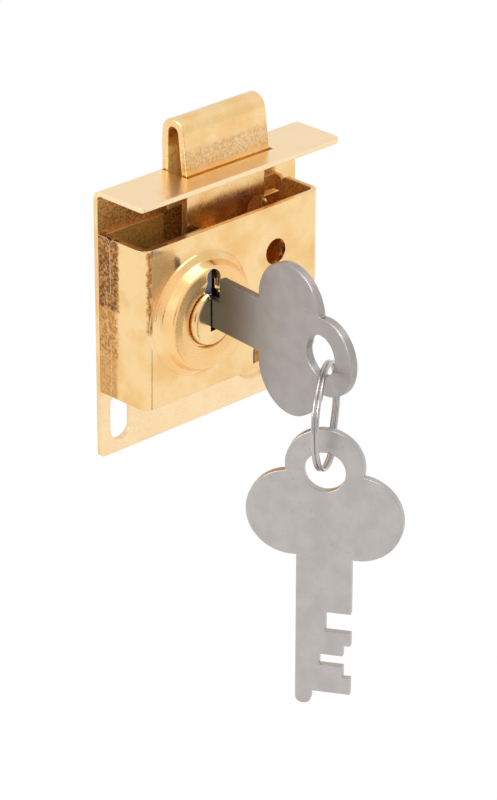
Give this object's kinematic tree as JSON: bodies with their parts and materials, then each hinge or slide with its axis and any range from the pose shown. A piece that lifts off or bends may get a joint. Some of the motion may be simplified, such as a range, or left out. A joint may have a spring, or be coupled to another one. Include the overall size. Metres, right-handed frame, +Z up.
{
  "type": "flat key latch lock",
  "caption": "Brass-plated half-mortise latch lock for a small door or drawer, with a round-nosed bolt, a flat steel key in the keyhole and a spare on a split ring.",
  "frame": {"origin": "middle of the mounting plate's flat back face, the face that lies on the door", "axes": "+Z up, the way the bolt points; +Y into the door behind the back face; -Y to the front, where the key goes in; +X to the right seen from the front"},
  "size_m": [0.0412, 0.0502, 0.0828],
  "materials": {
    "plate_brass": "bright brass plate on steel",
    "case_brass": "bright brass plate on steel",
    "bolt_brass": "bright brass plate on steel, rubbed on the nose",
    "rivet_brass": "plain",
    "seat_brass": "plain",
    "plug_brass": "polished",
    "lever_brass": "stamped, unpolished",
    "inner_steel": "plain",
    "spring_steel": "oiled wire",
    "key_steel": "stamped, brushed nickel colour",
    "ring_steel": "bright"
  },
  "bodies": {
    "case": {"mounting_plate": "plate_brass", "case_tray": "case_brass", "case_cover": "case_brass", "tray_rivets": "rivet_brass", "ward_plate": "inner_steel", "ward_post_upper": "inner_steel", "ward_post_lower": "inner_steel", "ward_post_base": "inner_steel", "bolt_guide_stud": "inner_steel", "lever_post": "inner_steel", "lever_spacer": "inner_steel", "lever_washer": "inner_steel", "lever_spring_anchor": "inner_steel", "spring_seat": "seat_brass", "bolt_spring": "spring_steel"},
    "plug": {"keyway_plug": "plug_brass"},
    "key": {"key_in_lock": "key_steel"},
    "ring": {"split_ring": "ring_steel"},
    "spare": {"spare_key": "key_steel"},
    "latch": {"bolt": "bolt_brass", "bolt_stump": "inner_steel"},
    "front_lever": {"lever_front": "lever_brass", "lever_spring_front": "spring_steel"},
    "rear_lever": {"lever_rear": "lever_brass", "lever_spring_rear": "spring_steel"}
  },
  "joints": [
    {"name": "key_turn", "type": "hinge", "parent": "case", "child": "plug", "pos_m": [-0.00915, -0.012, 0.00195], "axis": [0, 1, 0], "range_deg": [0, 90]},
    {"name": "key_withdraw", "type": "slide", "parent": "plug", "child": "key", "axis": [-0.0872, -0.9962, 0], "range_m": [0, 0.0175]},
    {"name": "ring_hang", "type": "hinge", "parent": "key", "child": "ring", "pos_m": [-0.01075, -0.03985, 0.00125], "axis": [0, 1, 0], "range_deg": [-90, 0]},
    {"name": "spare_key_swing", "type": "hinge", "parent": "ring", "child": "spare", "pos_m": [-0.01165, -0.03985, -0.01225], "axis": [0.848, 0.5299, 0], "range_deg": [-8, 8]},
    {"name": "bolt_slide", "type": "slide", "parent": "case", "child": "latch", "axis": [0, 0, 1], "range_m": [-0.0058, 0], "stiffness_N_per_m": 300, "springref_m": 0.004, "deforming": ["bolt_spring"]},
    {"name": "front_lever_turn", "type": "hinge", "parent": "case", "child": "front_lever", "pos_m": [-0.00115, -0.0044, -0.00755], "axis": [0, 1, 0], "range_deg": [0, 5.5]},
    {"name": "rear_lever_turn", "type": "hinge", "parent": "case", "child": "rear_lever", "pos_m": [-0.00115, -0.0032, -0.00755], "axis": [0, 1, 0], "range_deg": [0, 7.5]}
  ],
  "couplings": [
    {"joint": "key_turn", "follows": "bolt_slide", "rad_per_m": -270.83},
    {"joint": "front_lever_turn", "follows": "bolt_slide", "rad_per_m": -16.551},
    {"joint": "rear_lever_turn", "follows": "bolt_slide", "rad_per_m": -22.569},
    {"joint": "ring_hang", "follows": "bolt_slide", "rad_per_m": 270.83}
  ]
}
